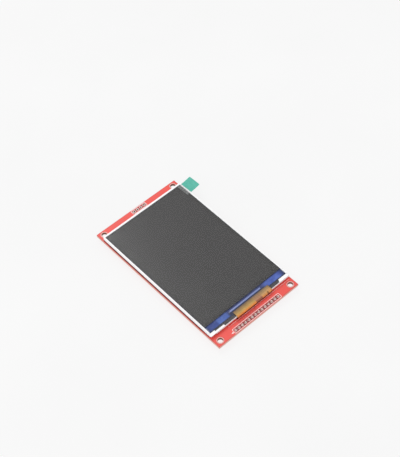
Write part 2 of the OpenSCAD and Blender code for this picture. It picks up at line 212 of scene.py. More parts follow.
def board_material(name, face, lift=1.0, copper=False):
    """Red solder mask on the faces, bare glass-fibre laminate on the edges; without copper, it also carries painted
    shade between the pins, under the display's edge and in the mounting holes.
    """
    m = Mat(name, rough=0.34, spec=0.5)
    big = m.noise(90, detail=2.0, lo=0.35, hi=0.65)
    fine = m.noise(2600, detail=4.0)
    c = m.mix(big, shade(face, 0.97 * lift), shade(face, 1.03 * lift))
    c = m.mix(m.math("MULTIPLY", fine, 0.10), c, shade(face, 0.72))
    # weave of the laminate, faint through the mask
    w1 = m.node("ShaderNodeTexWave", wave_type="BANDS", bands_direction="X")
    w1.inputs["Scale"].default_value = 360.0
    w1.inputs["Distortion"].default_value = 0.6
    w1.inputs["Detail"].default_value = 1.0
    m.link(m.coord, w1.inputs["Vector"])
    w2 = m.node("ShaderNodeTexWave", wave_type="BANDS", bands_direction="Y")
    w2.inputs["Scale"].default_value = 360.0
    w2.inputs["Distortion"].default_value = 0.6
    w2.inputs["Detail"].default_value = 1.0
    m.link(m.coord, w2.inputs["Vector"])
    weave = m.math("MULTIPLY", w1.outputs["Fac"], w2.outputs["Fac"])
    if not copper:
        c = m.mix(m.math("MULTIPLY", weave, 0.08), c, shade(face, 1.25))
        # painted shade: darker red round the main row's solder joints, and a lighter shade of it round the card row's
        # lands
        c = m.mix(m.inside(-0.0177, 0.0177, -0.05325, -0.05085), c, SHADE_BETWEEN_PINS)
        c = m.mix(m.inside(-0.0045, 0.0063, 0.05085, 0.05325), c, shade(SHADE_BETWEEN_PINS, 1.5))
        # painted shade: the top face inside the display's outline is dark maroon, standing for the shade in the gap
        # under the frame
        above = m.remap(m.axis(2), 0.0010, 0.0014, 0.0, 1.0)
        c = m.mix(m.math("MULTIPLY", above, m.inside(-0.03040, 0.03040, -0.04700, 0.04810, 0.00006)), c, SHADE_UNDER_DISPLAY)
        geo = m.node("ShaderNodeNewGeometry")
        sep = m.node("ShaderNodeSeparateXYZ")
        m.link(geo.outputs["Normal"], sep.inputs[0])
        flat = m.remap(m.math("ABSOLUTE", sep.outputs[2]), 0.3, 0.7, 0.0, 1.0)
        layers = m.node("ShaderNodeTexWave", wave_type="BANDS", bands_direction="Z")
        layers.inputs["Scale"].default_value = 1500.0
        layers.inputs["Distortion"].default_value = 1.2
        m.link(m.coord, layers.inputs["Vector"])
        grain = m.noise(1200, detail=3.0, stretch=(1.0, 1.0, 4.0))
        edge = m.mix(layers.outputs["Fac"], EDGE_A, EDGE_B)
        edge = m.mix(m.math("MULTIPLY", grain, 0.5), edge, EDGE_C)
        # inside the mounting holes: brown drilled laminate, darkened further as painted shade of the holes' insides
        hx = m.math("SUBTRACT", m.math("ABSOLUTE", m.axis(0)), 0.02737)
        hy = m.math("SUBTRACT", m.math("ABSOLUTE", m.axis(1)), 0.05102)
        hd = m.math("SQRT", m.math("ADD", m.math("MULTIPLY", hx, hx), m.math("MULTIPLY", hy, hy)))
        in_hole = m.remap(hd, 0.0018, 0.0020, 1.0, 0.0)
        hole_wall_shaded = m.mix(grain, srgb(104, 72, 60), srgb(140, 98, 80))
        edge = m.mix(in_hole, edge, hole_wall_shaded)
        c = m.mix(flat, edge, c)
        m.rough(m.remap(flat, 0.0, 1.0, 0.75, 0.34))
    else:
        m.rough(m.remap(fine, 0.0, 1.0, 0.28, 0.38))
    m.color(c)
    m.bump(m.math("ADD", m.math("MULTIPLY", weave, 0.6), m.math("MULTIPLY", fine, 0.4)), 0.12, 0.000012)
    return m.m


RED = srgb(230, 80, 72)
RED_BARE = srgb(204, 68, 62)
# painted shade between the pins
SHADE_BETWEEN_PINS = srgb(128, 44, 46)
# painted shade under the display's edge
SHADE_UNDER_DISPLAY = srgb(70, 14, 18)
EDGE_A = srgb(222, 160, 148)
EDGE_B = srgb(208, 138, 128)
EDGE_C = srgb(232, 188, 170)

MASK = board_material("red_mask", RED_BARE)
MASK_CU = board_material("red_mask_over_copper", RED, copper=True)
INK = simple("white_ink", srgb(244, 240, 238), rough=0.55, vary=0.05, scale=2200, bump=0.3, bscale=5200)
TIN = simple("tinned_copper", srgb(222, 219, 214), rough=0.30, metal=0.85, vary=0.07, scale=1400, rvary=0.10, bump=0.35, bscale=1900, bdist=0.00003)
RING_TIN = simple("thin_tinned_ring", srgb(216, 176, 168), rough=0.45, metal=0.5, vary=0.06, scale=1400, bump=0.2, bscale=1900, bdist=0.00002)
SOLDER = simple("bright_solder", srgb(214, 198, 192), rough=0.26, metal=0.85, vary=0.10, scale=1700, rvary=0.10, bump=0.35, bscale=1500, bdist=0.00004)
# the foam's dark maroon is partly the tape's own dark colour and partly painted shade of the gap under the frame
FOAM_AND_GAP_SHADE = simple("foam", srgb(58, 26, 26), rough=0.95, vary=0.25, scale=2600, bump=0.8, bscale=2600, bdist=0.00008)
WHITE = simple("white_moulding", srgb(243, 243, 244), rough=0.42, vary=0.025, scale=420, bump=0.25, bscale=2600, bdist=0.00001)
SHEET = simple("white_sheet", srgb(240, 240, 240), rough=0.5, vary=0.02, scale=600)
GUIDE = simple("clear_guide", srgb(226, 236, 238), rough=0.12, vary=0.03, scale=500, Transmission_Weight=0.6, IOR=1.49)
PRISM = simple("ribbed_film", srgb(205, 214, 222), rough=0.25, vary=0.05, scale=3000, stretch=(12.0, 0.4, 1.0))
LEDS = simple("led_packages", srgb(246, 240, 190), rough=0.3, vary=0.06, scale=900)


def tape_material():
    m = Mat("black_tape", rough=0.52, spec=0.4)
    n = m.noise(1100)
    c = m.mix(n, srgb(58, 56, 59), srgb(76, 74, 77))
    # painted shadow: near-black strips beside both edges of the flex, where the flex shades the tape
    side = m.math("MAXIMUM", m.inside(-0.01135, -0.0107, -0.0480, -0.0440), m.inside(0.0161, 0.0166, -0.0480, -0.0440))
    m.color(m.mix(side, c, srgb(22, 12, 8)))
    m.rough(m.remap(m.noise(1900), 0.0, 1.0, 0.42, 0.62))
    m.bump(m.noise(1500, detail=2.0), 0.5, 0.00003)
    return m.m


BLACK_TAPE = tape_material()
RIM = simple("rim_tape_black", srgb(30, 30, 31), rough=0.6, vary=0.1, scale=1500)
BLACK = simple("black_moulding", srgb(34, 34, 36), rough=0.50, vary=0.14, scale=2000, bump=0.5, bscale=4200, bdist=0.00002)
RESISTOR = simple("resistor_glaze", srgb(30, 30, 33), rough=0.28, vary=0.14, scale=2600)
CAPACITOR = simple("brown_ceramic", srgb(176, 146, 112), rough=0.55, vary=0.10, scale=3200, bump=0.5, bscale=6000)
GOLD = simple("gold_spring", srgb(226, 184, 96), rough=0.26, metal=1.0, vary=0.06, scale=1600, stretch=(0.3, 4.0, 1.0))


def steel_material():
    m = Mat("steel_sheet", rough=0.3, metal=1.0)
    n = m.noise(1500, detail=3.0, stretch=(0.12, 3.0, 3.0))
    m.color(m.mix(n, srgb(186, 188, 192), srgb(214, 216, 219)))
    m.rough(m.remap(n, 0.0, 1.0, 0.22, 0.40))
    m.bump(n, 0.15, 0.000006)
    return m.m


STEEL = steel_material()


def land_material(name, col, centres, radius):
    """Tinned lands whose barrels are rougher inside and darkened there as painted shade."""
    m = Mat(name, rough=0.36, metal=0.75)
    n = m.noise(1400)
    c = m.mix(n, shade(col, 0.93), shade(col, 1.05))
    shaded_barrel_mask = None
    for x, y in centres:
        dx = m.math("SUBTRACT", m.axis(0), x * MM)
        dy = m.math("SUBTRACT", m.axis(1), y * MM)
        d = m.math("SQRT", m.math("ADD", m.math("MULTIPLY", dx, dx), m.math("MULTIPLY", dy, dy)))
        near = m.remap(d, (radius + 0.01) * MM, (radius + 0.05) * MM, 1.0, 0.0)
        shaded_barrel_mask = near if shaded_barrel_mask is None else m.math("MAXIMUM", shaded_barrel_mask, near)
    # painted shade inside the barrels
    m.color(m.mix(shaded_barrel_mask, c, srgb(70, 46, 38)))
    m.rough(m.remap(shaded_barrel_mask, 0.0, 1.0, 0.36, 0.8))
    m.bump(m.noise(1900, detail=2.0), 0.3, 0.00003)
    return m.m


def screen_material():
    """Dark polarizer with a soft gloss; the black border of the picture is a shade darker."""
    m = Mat("screen_polarizer", rough=0.42, spec=0.2, Coat_Weight=1.0, Coat_Roughness=0.20, Coat_IOR=1.5)
    cloud = m.noise(22, detail=2.0, lo=0.25, hi=0.75)
    c = m.mix(cloud, SCREEN_A, SCREEN_B)
    x = m.math("ABSOLUTE", m.axis(0))
    y = m.axis(1)
    inx = m.remap(x, 0.02774, 0.02790, 1.0, 0.0)
    iny = m.math("MULTIPLY", m.remap(y, -0.03830, -0.03814, 0.0, 1.0), m.remap(y, 0.04530, 0.04546, 1.0, 0.0))
    inside = m.math("MULTIPLY", inx, iny)
    c = m.mix(inside, shade(SCREEN_A, 0.85), c)
    m.color(c)
    m.rough(m.remap(m.noise(300, detail=2.0), 0.0, 1.0, 0.37, 0.43))
    return m.m


SCREEN_A = srgb(56, 55, 55)
SCREEN_B = srgb(59, 58, 58)
SCREEN = screen_material()


def glass_material():
    m = Mat("display_glass", rough=0.12, spec=0.5)
    n = m.noise(700, detail=2.0)
    m.color(m.mix(n, srgb(44, 50, 74), srgb(58, 64, 90)))
    m.rough(m.remap(n, 0.0, 1.0, 0.08, 0.18))
    return m.m


GLASS = glass_material()


def film_material():
    m = Mat("clear_film", rough=0.20, spec=0.35, Alpha=0.07)
    n = m.noise(60, detail=3.0)
    m.color(m.mix(n, srgb(66, 66, 67), srgb(70, 70, 71)))
    m.rough(m.remap(m.noise(240), 0.0, 1.0, 0.17, 0.23))
    return m.m


FILM = film_material()


def coat_material():
    """Blue sealing resin: brighter towards both ends. Painted shade darkens it below the chip, along the step up to the
    front glass and at both far ends.
    """
    m = Mat("blue_resin", rough=0.18, spec=0.5)
    x, y = m.axis(0), m.axis(1)
    cloud = m.noise(230, detail=3.0)
    mid = m.mix(cloud, srgb(44, 54, 100), srgb(60, 70, 118))
    # painted shade: grey-dark blue below the chip, where the chip throws its shade
    low = m.remap(y, -0.04290, -0.04265, 1.0, 0.0, smooth=True)
    mid = m.mix(m.math("MULTIPLY", low, 0.8), mid, srgb(40, 44, 60))
    # painted shade along the step up to the front glass
    up = m.remap(y, -0.04130, -0.04100, 0.0, 1.0, smooth=True)
    left = m.mix(cloud, srgb(58, 82, 150), srgb(84, 112, 184))
    left = m.mix(m.remap(x, -0.0222, -0.0208, 1.0, 0.0, smooth=True), left, m.mix(cloud, srgb(42, 58, 118), srgb(56, 78, 146)))
    right = m.mix(cloud, srgb(58, 78, 154), srgb(80, 106, 184))
    c = m.mix(m.remap(x, -0.0150, -0.0125, 1.0, 0.0, smooth=True), mid, left)
    c = m.mix(m.remap(x, 0.0128, 0.0170, 0.0, 1.0, smooth=True), c, right)
    c = m.mix(m.math("MULTIPLY", up, 0.45), c, srgb(34, 40, 84))
    # painted shade at both far ends of the ledge, next to the frame's walls
    ax = m.math("ABSOLUTE", m.math("ADD", x, 0.0005))
    far_end_shade = m.remap(ax, 0.0264, 0.0290, 0.0, 1.0, smooth=True)
    c = m.mix(m.math("MULTIPLY", far_end_shade, 0.85), c, srgb(36, 46, 88))
    m.color(c)
    m.rough(m.remap(m.noise(900), 0.0, 1.0, 0.12, 0.24))
    m.bump(m.noise(320, detail=2.0), 0.2, 0.00005)
    return m.m


COAT = coat_material()


def chip_material():
    m = Mat("polished_silicon", rough=0.38, spec=0.5)
    n = m.noise(1800, stretch=(0.25, 4.0, 1.0))
    m.color(m.mix(n, srgb(98, 110, 160), srgb(134, 148, 196)))
    m.rough(m.remap(n, 0.0, 1.0, 0.32, 0.44))
    return m.m


CHIP = chip_material()


def flex_material(name, k=1.0, tracks=False):
    """Amber polyimide: grey-tan where it is bonded to the glass, warmer and lighter towards the fold; the lighter tones
    on the fold are partly the film's colour and partly painted light, where the fold faces the lamp.
    """
    m = Mat(name, rough=0.34, spec=0.5)
    x, y = m.axis(0), m.axis(1)
    cloud = m.noise(300, detail=3.0)

    def along(tones):
        c = shade(tones[0], k)
        for (y1, y0), tone in zip(((-0.0440, -0.0450), (-0.0452, -0.0463), (-0.0466, -0.0474)), tones[1:]):
            c = m.mix(m.remap(y, y0, y1, 1.0, 0.0, smooth=True), c, shade(tone, k))
        return c

    # tones down the path: the brighter orange towards the fold is partly painted light
    c = along((srgb(104, 84, 58), srgb(148, 120, 66), srgb(186, 146, 74), srgb(236, 142, 58)))
    mid = along((srgb(110, 88, 74), srgb(134, 98, 74), srgb(158, 108, 84), srgb(132, 62, 52)))
    pale = along((srgb(118, 100, 76), srgb(154, 122, 80), srgb(194, 146, 92), srgb(228, 146, 76)))
    zone = m.math("MULTIPLY", m.remap(x, 0.0036, 0.0041, 0.0, 1.0), m.remap(x, 0.0086, 0.0092, 1.0, 0.0))
    c = m.mix(zone, c, mid)
    c = m.mix(m.remap(x, 0.0088, 0.0094, 0.0, 1.0), c, pale)
    c = m.mix(m.inside(0.0126, 0.0137, -0.0485, -0.0466, 0.0002), c, srgb(120, 78, 34))
    c = m.mix(m.math("MULTIPLY", cloud, 0.25), c, srgb(150, 110, 66))
    # fine tracks that run along the circuit
    stripes = m.node("ShaderNodeTexWave", wave_type="BANDS", bands_direction="X")
    stripes.inputs["Scale"].default_value = 440.0
    stripes.inputs["Distortion"].default_value = 0.0
    m.link(m.coord, stripes.inputs["Vector"])
    fine = m.math("MULTIPLY", stripes.outputs["Fac"], 0.16)
    c = m.mix(fine, c, srgb(236, 180, 100) if tracks else srgb(104, 74, 44))
    # the lower half of the fold turns away from the light
    c = m.mix(m.remap(m.axis(2), 0.0029, 0.0034, 1.0, 0.0, smooth=True), c, srgb(74, 24, 12))
    m.color(c)
    m.rough(m.remap(cloud, 0.0, 1.0, 0.28, 0.42))
    m.bump(stripes.outputs["Fac"], 0.20, 0.00001)
    return m.m


AMBER = flex_material("amber_flex", 0.86)
AMBER_CU = flex_material("amber_flex_over_copper", 1.08, tracks=True)
LED_FLEX = simple("led_strip_flex", srgb(214, 168, 88), rough=0.35, vary=0.08, scale=900)


def tab_material():
    m = Mat("teal_film", rough=0.45, spec=0.3)
    n = m.noise(520, detail=3.0)
    m.color(m.mix(n, srgb(69, 165, 147), srgb(81, 177, 159)))
    m.rough(m.remap(m.noise(1400), 0.0, 1.0, 0.32, 0.46))
    m.bump(m.noise(900, detail=2.0, stretch=(1.0, 3.0, 1.0)), 0.3, 0.00002)
    return m.m


TEAL = tab_material()


def clear_tab_material():
    m = Mat("clear_tape", rough=0.3, spec=0.5, Alpha=0.11)
    n = m.noise(700)
    m.color(m.mix(n, srgb(196, 198, 198), srgb(216, 218, 218)))
    m.rough(m.remap(n, 0.0, 1.0, 0.24, 0.38))
    return m.m


CLEAR_TAB = clear_tab_material()

# ---------------------------------------------------------------- mesh tools


def finish_mesh(name, bm, mats, smooth_deg=None, doubles=True):
    if doubles:
        bmesh.ops.remove_doubles(bm, verts=bm.verts, dist=1e-8)
    bmesh.ops.recalc_face_normals(bm, faces=bm.faces)
    me = bpy.data.meshes.new(name)
    bm.to_mesh(me)
    bm.free()
    o = bpy.data.objects.new(name, me)
    bpy.context.scene.collection.objects.link(o)
    for mm in mats if isinstance(mats, (list, tuple)) else [mats]:
        me.materials.append(mm)
    if smooth_deg:
        for p in me.polygons:
            p.use_smooth = True
        me.set_sharp_from_angle(angle=math.radians(smooth_deg))
    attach(o, "root")
    return o


def prism(bm, pts, z0, z1, mat=0):
    """A closed outline, extruded between two heights. Points are in mm."""
    a = [bm.verts.new((x * MM, y * MM, z0 * MM)) for x, y in pts]
    b = [bm.verts.new((x * MM, y * MM, z1 * MM)) for x, y in pts]
    n = len(pts)
    fs = [bm.faces.new(a[::-1]), bm.faces.new(b)]
    for i in range(n):
        fs.append(bm.faces.new((a[i], a[(i + 1) % n], b[(i + 1) % n], b[i])))
    for f in fs:
        f.material_index = mat
    return fs


def boxed(bm, x0, y0, x1, y1, z0, z1, mat=0):
    return prism(bm, [(x0, y0), (x1, y0), (x1, y1), (x0, y1)], z0, z1, mat)


def ring(bm, x, y, r0, r1, z0, z1, seg=32, mat=0):
    """A flat ring, or a disc if r0 is 0."""
    if r0 <= 0:
        return prism(bm, [(x + r1 * math.cos(2 * math.pi * i / seg), y + r1 * math.sin(2 * math.pi * i / seg)) for i in range(seg)], z0, z1, mat)
    loops = []
    for r, z in ((r0, z0), (r1, z0), (r1, z1), (r0, z1)):
        loops.append([bm.verts.new(((x + r * math.cos(2 * math.pi * i / seg)) * MM, (y + r * math.sin(2 * math.pi * i / seg)) * MM, z * MM)) for i in range(seg)])
    for k in range(4):
        a, b = loops[k], loops[(k + 1) % 4]
        for i in range(seg):
            f = bm.faces.new((a[i], a[(i + 1) % seg], b[(i + 1) % seg], b[i]))
            f.material_index = mat


def ribbon(bm, pts, w, z0, z1, closed=False, mat=0):
    """A flat track of width w along a line of points, with mitred corners."""
    n = len(pts)
    left, rightp = [], []
    for i in range(n):
        p = Vector(pts[i])
        if closed:
            d0 = (p - Vector(pts[i - 1])).normalized()
            d1 = (Vector(pts[(i + 1) % n]) - p).normalized()
        else:
            d0 = (p - Vector(pts[i - 1])).normalized() if i else None
            d1 = (Vector(pts[i + 1]) - p).normalized() if i < n - 1 else None
            d0 = d0 or d1
            d1 = d1 or d0
        n0 = Vector((-d0.y, d0.x))
        n1 = Vector((-d1.y, d1.x))
        m = (n0 + n1).normalized()
        k = w / 2 / max(0.35, m.dot(n0))
        left.append(p + m * k)
        rightp.append(p - m * k)
    rings = []
    for l, r in zip(left, rightp):
        rings.append([bm.verts.new((q.x * MM, q.y * MM, z * MM)) for q, z in ((l, z0), (r, z0), (r, z1), (l, z1))])
    segs = n if closed else n - 1
    for i in range(segs):
        a, b = rings[i], rings[(i + 1) % n]
        for k in range(4):
            f = bm.faces.new((a[k], a[(k + 1) % 4], b[(k + 1) % 4], b[k]))
            f.material_index = mat
    if not closed:
        bm.faces.new(rings[0]).material_index = mat
        bm.faces.new(rings[-1][::-1]).material_index = mat


def rounded(x0, y0, x1, y1, r, seg=5):
    pts = []
    for cx, cy, a0 in ((x1 - r, y0 + r, -90), (x1 - r, y1 - r, 0), (x0 + r, y1 - r, 90), (x0 + r, y0 + r, 180)):
        for i in range(seg + 1):
            a = math.radians(a0 + 90 * i / seg)
            pts.append((cx + r * math.cos(a), cy + r * math.sin(a)))
    return pts


def circle_pts(x, y, r, seg=28):
    return [(x + r * math.cos(2 * math.pi * i / seg), y + r * math.sin(2 * math.pi * i / seg)) for i in range(seg)]


def plate(name, outlines, z0, z1, mats):
    """A plate with holes: the first outline is outside, the others are cut out."""
    cu = bpy.data.curves.new(name + "_curve", "CURVE")
    cu.dimensions = "2D"
    cu.fill_mode = "BOTH"
    cu.extrude = abs(z1 - z0) / 2 * MM
    for pts in outlines:
        s = cu.splines.new("POLY")
        s.points.add(len(pts) - 1)
        for p, (x, y) in zip(s.points, pts):
            p.co = (x * MM, y * MM, 0.0, 1.0)
        s.use_cyclic_u = True
    tmp = bpy.data.objects.new(name + "_tmp", cu)
    bpy.context.scene.collection.objects.link(tmp)
    bpy.context.view_layer.update()
    dg = bpy.context.evaluated_depsgraph_get()
    me = bpy.data.meshes.new_from_object(tmp.evaluated_get(dg))
    bpy.data.objects.remove(tmp)
    bpy.data.curves.remove(cu)
    me.transform(Matrix.Translation((0, 0, (z0 + z1) / 2 * MM)))
    bm = bmesh.new()
    bm.from_mesh(me)
    bpy.data.meshes.remove(me)
    for f in bm.faces:
        f.material_index = 0
    return finish_mesh(name, bm, mats)


def bevelled_copy(node, name, width, mats, segments=2, angle=25.0):
    """A copy of a CAD node with its edges rounded, which stands for the node."""
    bm = bmesh.new()
    bm.from_mesh(nodes[node].data)
    bmesh.ops.remove_doubles(bm, verts=bm.verts, dist=1e-7)
    bmesh.ops.dissolve_limit(bm, angle_limit=math.radians(0.6), verts=bm.verts, edges=bm.edges)
    sharp = [e for e in bm.edges if len(e.link_faces) == 2 and e.calc_face_angle(0.0) > math.radians(angle)]
    bmesh.ops.bevel(bm, geom=sharp, offset=width * MM, offset_type="OFFSET", segments=segments, profile=0.5, affect="EDGES", clamp_overlap=True)
    bmesh.ops.triangulate(bm, faces=[f for f in bm.faces if len(f.verts) > 4])
    for f in bm.faces:
        f.material_index = 0
    o = finish_mesh(name, bm, mats, smooth_deg=40)
    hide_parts(node)
    return o


def paint(node, mat):
    o = nodes[node]
    o.data.materials.clear()
    o.data.materials.append(mat)
    for p in o.data.polygons:
        p.material_index = 0


# ---------------------------------------------------------------- measures
top = hi("circuit_board").z
bx0, by0 = lo("circuit_board").x, lo("circuit_board").y
bx1, by1 = hi("circuit_board").x, hi("circuit_board").y
z_film = lo("protective_film").z
z_top = hi("protective_film").z
z_ledge = hi("rear_glass").z
MAIN = [(-16.51 + 2.54 * i, by0 + 1.97) for i in range(14)]
CARD = [(0.9 + (i - 1.5) * 2.54, by1 - 1.97) for i in range(4)]
HOLES = [(sx * 27.37, sy * 51.02) for sx in (-1, 1) for sy in (-1, 1)]

# ---------------------------------------------------------------- CAD nodes
paint("circuit_board", MASK)
paint("mounting_rings", RING_TIN)
paint("pin_row_plating", simple("pin_row_lands", srgb(216, 196, 190), rough=0.34, metal=0.75, vary=0.07, scale=1400, rvary=0.08, bump=0.35, bscale=1900, bdist=0.00003))
paint("pin_row_solder", SOLDER)
paint("card_row_plating", land_material("card_row_lands", srgb(214, 192, 186), CARD, 0.5))
paint("foam_tape", FOAM_AND_GAP_SHADE)
paint("reflector_sheet", SHEET)
paint("light_guide", GUIDE)
paint("diffuser_sheet", SHEET)
paint("lower_prism_sheet", PRISM)
paint("upper_prism_sheet", PRISM)
paint("led_flex", LED_FLEX)
paint("backlight_leds", LEDS)
paint("rim_tape", RIM)
paint("rear_polarizer", SCREEN)
paint("rear_glass", GLASS)
paint("front_glass", GLASS)
paint("front_polarizer", SCREEN)
paint("protective_film", FILM)
paint("card_socket_contacts", GOLD)
paint("sot_leads", TIN)
paint("chip_end_caps", TIN)

for n in ("pin_row_solder", "pin_row_plating", "card_row_plating", "mounting_rings"):
    me = nodes[n].data
    for p in me.polygons:
        p.use_smooth = True

# ---------------------------------------------------------------- rounded copies
bevelled_copy("backlight_frame", "frame_moulding", 0.14, WHITE, segments=3)
bevelled_copy("driver_chip", "driver_chip_die", 0.03, CHIP)
bevelled_copy("card_socket_cover", "socket_cover_sheet", 0.045, STEEL)
bevelled_copy("card_socket_base", "socket_base_moulding", 0.05, BLACK)
bevelled_copy("sot_packages", "sot_bodies", 0.12, BLACK)
bevelled_copy("chip_resistors", "resistor_bodies", 0.03, RESISTOR)
bevelled_copy("chip_capacitors", "capacitor_bodies", 0.06, CAPACITOR)

# ---------------------------------------------------------------- board: copper under the mask
CU = 0.02


def pour(name, x0, y0, x1, y1, cuts, front=True):
    outlines = [rounded(x0, y0, x1, y1, 0.4, 3)] + cuts
    z0, z1 = (top, top + CU) if front else (-CU, 0.0)
    return plate(name, outlines, z0, z1, MASK_CU)


front_cuts = [rounded(-17.55, by0 + 1.97 - 1.15, 17.55, by0 + 1.97 + 1.15, 0.5, 4)]
front_cuts += [circle_pts(x, y, 2.45, 36) for x, y in HOLES if y < 0]
front_cuts += [rounded(-12.2, -50.35, 2.2, -47.95, 0.25, 3)]
pour("front_pour_lower", bx0 + 0.35, by0 + 0.35, bx1 - 0.35, -40.0, front_cuts)
front_cuts = [rounded(-4.35, by1 - 1.97 - 1.15, 6.15, by1 - 1.97 + 1.15, 0.5, 4)]
front_cuts += [circle_pts(x, y, 2.45, 36) for x, y in HOLES if y > 0]
pour("front_pour_upper", bx0 + 0.35, 42.0, bx1 - 0.35, by1 - 0.35, front_cuts)

# tracks that cross the opening in the lower pour
bm = bmesh.new()
for i in range(9):
    x = -11.3 + i * 1.6
    ribbon(bm, [(x, -50.3), (x, -49.5), (x + 0.5, -49.0), (x + 0.5, -48.0)], 0.32, top, top + CU)
finish_mesh("front_tracks", bm, MASK_CU)

# rear copper: a ground pour with open fields, and tracks in the fields
rear_cuts = [circle_pts(x, y, 1.22, 24) for x, y in MAIN + CARD]
rear_cuts += [circle_pts(x, y, 2.45, 36) for x, y in HOLES]
rear_cuts += [rounded(-22.6, -50.2, 19.8, -34.6, 0.8, 4)]
rear_cuts += [rounded(-20.2, 0.4, -8.0, 19.0, 0.8, 4)]
rear_cuts += [rounded(-8.0, 41.4, 12.0, 50.0, 0.8, 4)]
rear_cuts += [rounded(-7.4, 13.6, 2.2, 39.0, 0.8, 4)]
rear_cuts += [rounded(-25.6, -30.0, -22.4, 12.0, 0.8, 4)]
pour("rear_pour", bx0 + 0.35, by0 + 0.35, bx1 - 0.35, by1 - 0.35, rear_cuts, front=False)

vias = []


def track(bm, pts, w=0.3):
    ribbon(bm, pts, w, -CU, 0.0)
    for p in (pts[0], pts[-1]):
        vias.append(p)


bm = bmesh.new()
# from the main pins up to the parts above them
for i, (x, y) in enumerate(MAIN):
    if i == 0:
        ribbon(bm, [(x, y + 1.0), (x, -48.8), (-20.0, -45.6)], 0.7, -CU, 0.0)
    elif i in (1,):
        ribbon(bm, [(x, y + 0.9), (x, -49.2), (x - 0.8, -48.0), (x - 0.8, -35.4)], 0.6, -CU, 0.0)
    elif i < 10:
        tx = [-16.5, -13.0, -9.5, -6.2, -4.2, -2.2, -0.2, 1.8][i - 2]
        track(bm, [(x, y + 0.9), (x, -48.6), (tx, -48.6 + abs(tx - x) * 0.35 + 0.3), (tx, -46.2 if i < 5 else -37.0 - (i % 3))], 0.28)
    else:
        tx = [7.4, 11.0, 14.0, 17.5][i - 10]
        track(bm, [(x, y + 0.9), (x, -48.9), (tx, -48.9 + abs(tx - x) * 0.4 + 0.2), (tx, -46.2 if i > 11 else -39.6)], 0.28)
ribbon(bm, [(-16.5, -43.8), (-16.5, -39.2)], 0.5, -CU, 0.0)
ribbon(bm, [(-13.0, -43.8), (-13.0, -39.4)], 0.5, -CU, 0.0)
ribbon(bm, [(-16.0, -37.0), (-12.0, -36.4), (-8.2, -36.9)], 0.7, -CU, 0.0)
ribbon(bm, [(9.0, -36.5), (9.0, -35.4), (16.4, -35.4)], 0.6, -CU, 0.0)
ribbon(bm, [(14.0, -43.8), (13.6, -39.2)], 0.5, -CU, 0.0)
# touch controller field
for i in range(8):
    y = 7.6 + (i - 3.5) * 0.65
    track(bm, [(-17.6, y), (-18.6, y), (-19.3, y + (0.5 if i % 2 else -0.5))], 0.22)
    track(bm, [(-10.4, y), (-9.6, y), (-8.8, y + (0.6 if i % 2 else -0.6))], 0.22)
ribbon(bm, [(-14.0, 3.2), (-14.0, 4.4)], 0.4, -CU, 0.0)
ribbon(bm, [(-14.0, 15.8), (-14.0, 11.4)], 0.4, -CU, 0.0)
# bus along the long side
for i in range(4):
    x = -25.0 + i * 0.65
    track(bm, [(x, -29.4 + i * 0.3), (x, 11.2 - i * 0.3)], 0.25)
# card row to series resistors to the socket
for i, (x, y) in enumerate(CARD):
    rx = [-6, -1, 4, 9][i]
    track(bm, [(x, y - 0.95), (x, 49.4), (rx + 0.8, 48.4), (rx + 0.8, 46.8)], 0.28)
    track(bm, [(rx - 0.8, 45.2), (rx - 0.8, 42.2)], 0.28)
for i in range(9):
    y = 26 + (i - 4) * 2.5
    track(bm, [(1.0, y), (-0.6, y), (-1.6, y + (0.9 if i % 2 else -0.9)), (-3.2 - (i % 3) * 0.8, y + (0.9 if i % 2 else -0.9))], 0.25)
finish_mesh("rear_tracks", bm, MASK_CU)

# vias: small plated dimples under the mask, on both faces
bm = bmesh.new()
grid = []
for x, y in [(-27, -44), (-27, -36), (-24, -18), (27, -44), (27, -30), (27, -10), (-28, 20), (-28, 36), (-22, 44), (22, 46), (-12, 50.5), (16, 50.5), (0, 0), (10, -12), (-6, -20), (18, 2), (-16, 32), (-26.5, 8), (6, -26), (-2, -6), (24, -50.6), (-22, -50.8), (21.5, -48.6)]:
    grid.append((x, y))
for x, y in vias + grid:
    ring(bm, x, y, 0.16, 0.34, -CU - 0.012, 0.0, seg=16)
finish_mesh("rear_vias", bm, MASK_CU, smooth_deg=30)
bm = bmesh.new()
for x, y in [(24, -50.6), (-22, -50.8), (21.5, -48.6), (-12, 50.5), (16, 50.5), (-23.5, -48.4), (-21, 51.2), (20.2, 51.6), (5.5, -48.9), (12.8, -49.2)]:
    ring(bm, x, y, 0.16, 0.34, top, top + CU + 0.012, seg=16)
finish_mesh("front_vias", bm, MASK_CU, smooth_deg=30)

# ---------------------------------------------------------------- printed lines
PR = 0.03


def front_line(bm, pts, w=0.2, closed=False):
    ribbon(bm, pts, w, top + CU * 0.5, top + CU + PR, closed)


def header_print(bm, line, cx, cy, n, w):
    """The printed box round a header."""
    hx = (n - 1) / 2 * 2.54 + 1.5
    line(bm, rounded(cx - hx, cy - 1.55, cx + hx, cy + 1.55, 0.5, 4), w, closed=True)


bm = bmesh.new()
my, cy = by0 + 1.97, by1 - 1.97
header_print(bm, front_line, 0.0, my, 14, 0.24)
prism(bm, [(-20.0, my - 0.25), (-18.5, my - 0.75), (-18.5, my + 0.25)], top + CU * 0.5, top + CU + PR)
front_line(bm, [(-18.0, -47.78), (29.6, -47.78)], 0.10)
header_print(bm, front_line, 0.9, cy, 4, 0.30)
finish_mesh("front_print", bm, INK)


def rear_line(bm, pts, w=0.18, closed=False):
    ribbon(bm, pts, w, -CU - PR, -CU * 0.5, closed)


